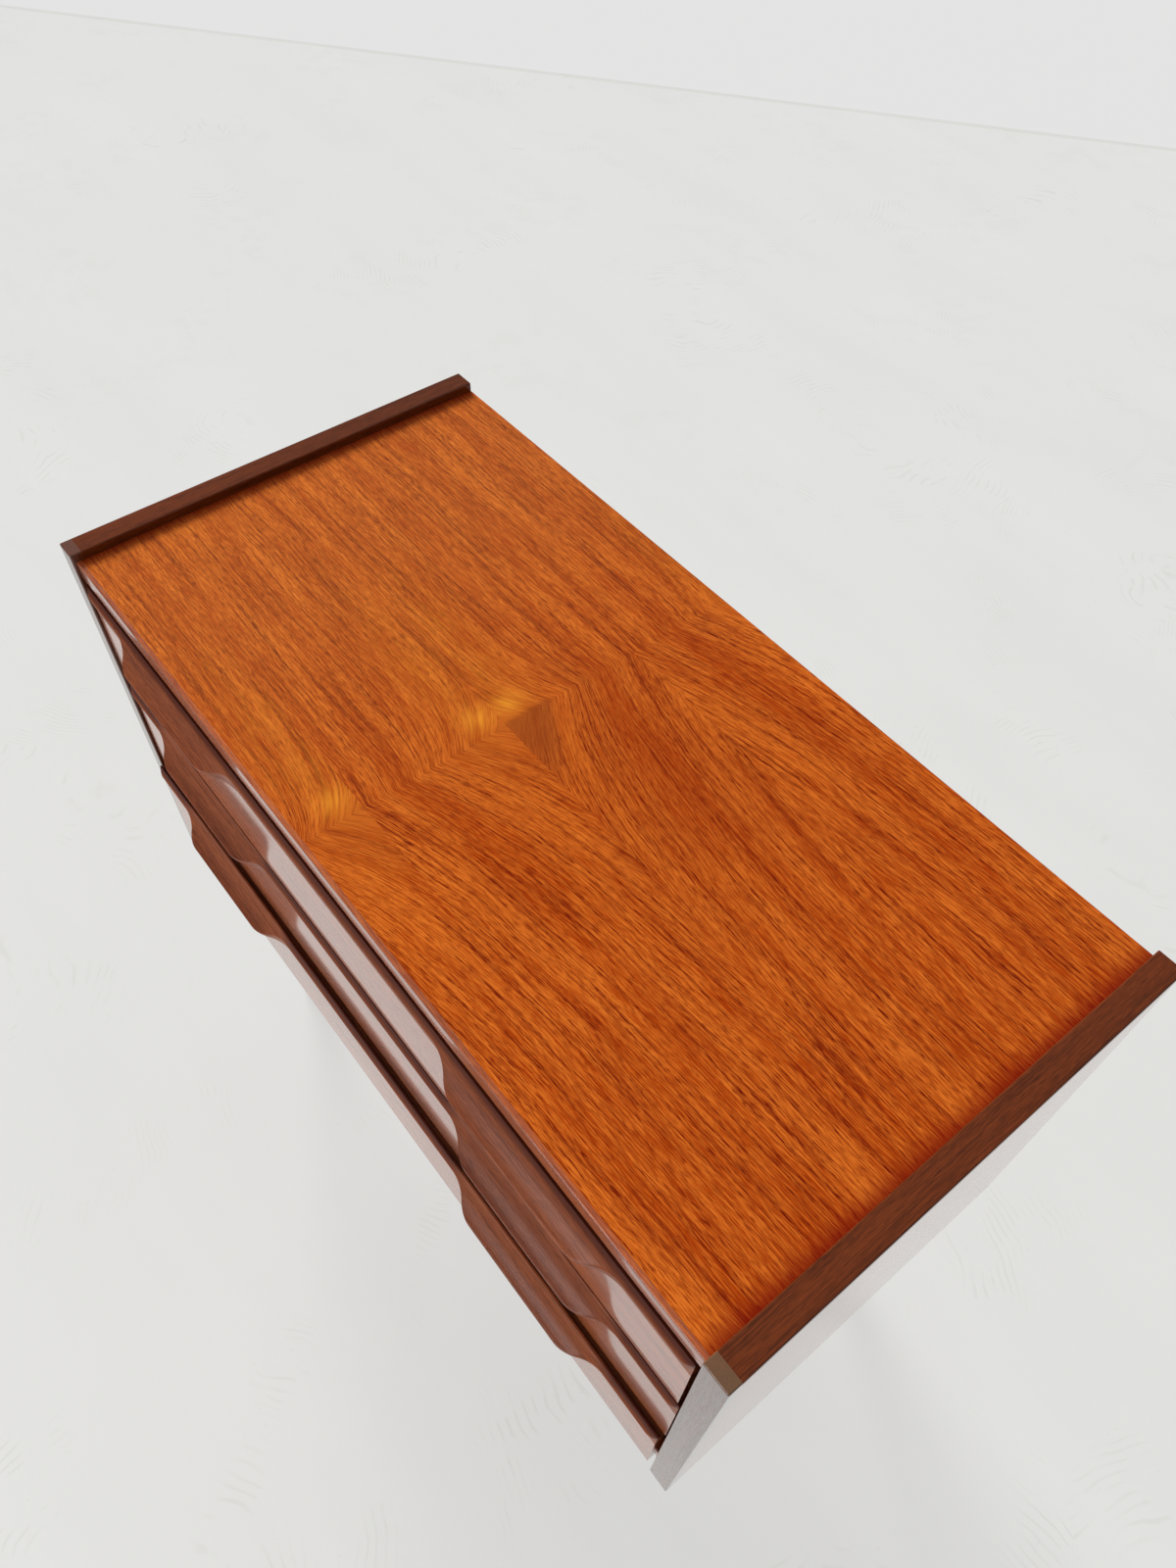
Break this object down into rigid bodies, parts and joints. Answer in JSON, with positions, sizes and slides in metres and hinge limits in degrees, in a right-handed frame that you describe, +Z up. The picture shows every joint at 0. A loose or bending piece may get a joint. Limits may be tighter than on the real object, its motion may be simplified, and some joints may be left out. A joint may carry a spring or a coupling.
{
  "type": "chest of drawers",
  "caption": "Low teak chest of drawers on turned legs, with raised side panels and a carved lip pull along the top of each drawer.",
  "frame": {"origin": "centre of the outline seen from above, on the floor under the feet", "axes": "+X to the right seen from the front, +Y to the back, +Z up"},
  "size_m": [0.8, 0.4115, 0.7],
  "materials": {
    "teak_veneer": "oiled teak veneer with dark pore lines, satin",
    "solid_teak": "oiled solid teak, darker, satin",
    "beech": "plain lacquered beech",
    "birch_plywood": "bare birch plywood",
    "zinc_steel": "zinc-plated steel",
    "nylon": "dark nylon"
  },
  "bodies": {
    "case": {"left_side_panel": "teak_veneer", "left_front_edging": "solid_teak", "left_top_edging": "solid_teak", "right_side_panel": "teak_veneer", "right_front_edging": "solid_teak", "right_top_edging": "solid_teak", "top_panel": "teak_veneer", "top_front_edging": "solid_teak", "bottom_panel": "teak_veneer", "bottom_front_edging": "solid_teak", "back_panel": "birch_plywood", "back_rail": "beech", "back_screws": "zinc_steel", "top_dowels": "beech", "bottom_dowels": "beech", "top_drawer_left_runner": "beech", "top_drawer_right_runner": "beech", "middle_drawer_left_runner": "beech", "middle_drawer_right_runner": "beech", "bottom_drawer_left_runner": "beech", "bottom_drawer_right_runner": "beech", "runner_screws": "zinc_steel", "front_left_leg": "solid_teak", "front_left_leg_plate": "zinc_steel", "front_left_foot_glide": "nylon", "back_left_leg": "solid_teak", "back_left_leg_plate": "zinc_steel", "back_left_foot_glide": "nylon", "front_right_leg": "solid_teak", "front_right_leg_plate": "zinc_steel", "front_right_foot_glide": "nylon", "back_right_leg": "solid_teak", "back_right_leg_plate": "zinc_steel", "back_right_foot_glide": "nylon", "plate_screws": "zinc_steel", "leg_studs": "zinc_steel"},
    "top_drawer": {"top_drawer_front": "teak_veneer", "top_drawer_lip": "solid_teak", "top_drawer_left_wall": "beech", "top_drawer_right_wall": "beech", "top_drawer_back": "beech", "top_drawer_bottom": "birch_plywood"},
    "middle_drawer": {"middle_drawer_front": "teak_veneer", "middle_drawer_lip": "solid_teak", "middle_drawer_left_wall": "beech", "middle_drawer_right_wall": "beech", "middle_drawer_back": "beech", "middle_drawer_bottom": "birch_plywood"},
    "bottom_drawer": {"bottom_drawer_front": "teak_veneer", "bottom_drawer_lip": "solid_teak", "bottom_drawer_left_wall": "beech", "bottom_drawer_right_wall": "beech", "bottom_drawer_back": "beech", "bottom_drawer_bottom": "birch_plywood"}
  },
  "joints": [
    {"name": "top_drawer_slide", "type": "slide", "parent": "case", "child": "top_drawer", "axis": [0, -1, 0], "range_m": [0, 0.27]},
    {"name": "middle_drawer_slide", "type": "slide", "parent": "case", "child": "middle_drawer", "axis": [0, -1, 0], "range_m": [0, 0.27]},
    {"name": "bottom_drawer_slide", "type": "slide", "parent": "case", "child": "bottom_drawer", "axis": [0, -1, 0], "range_m": [-0.005, 0.265]}
  ]
}
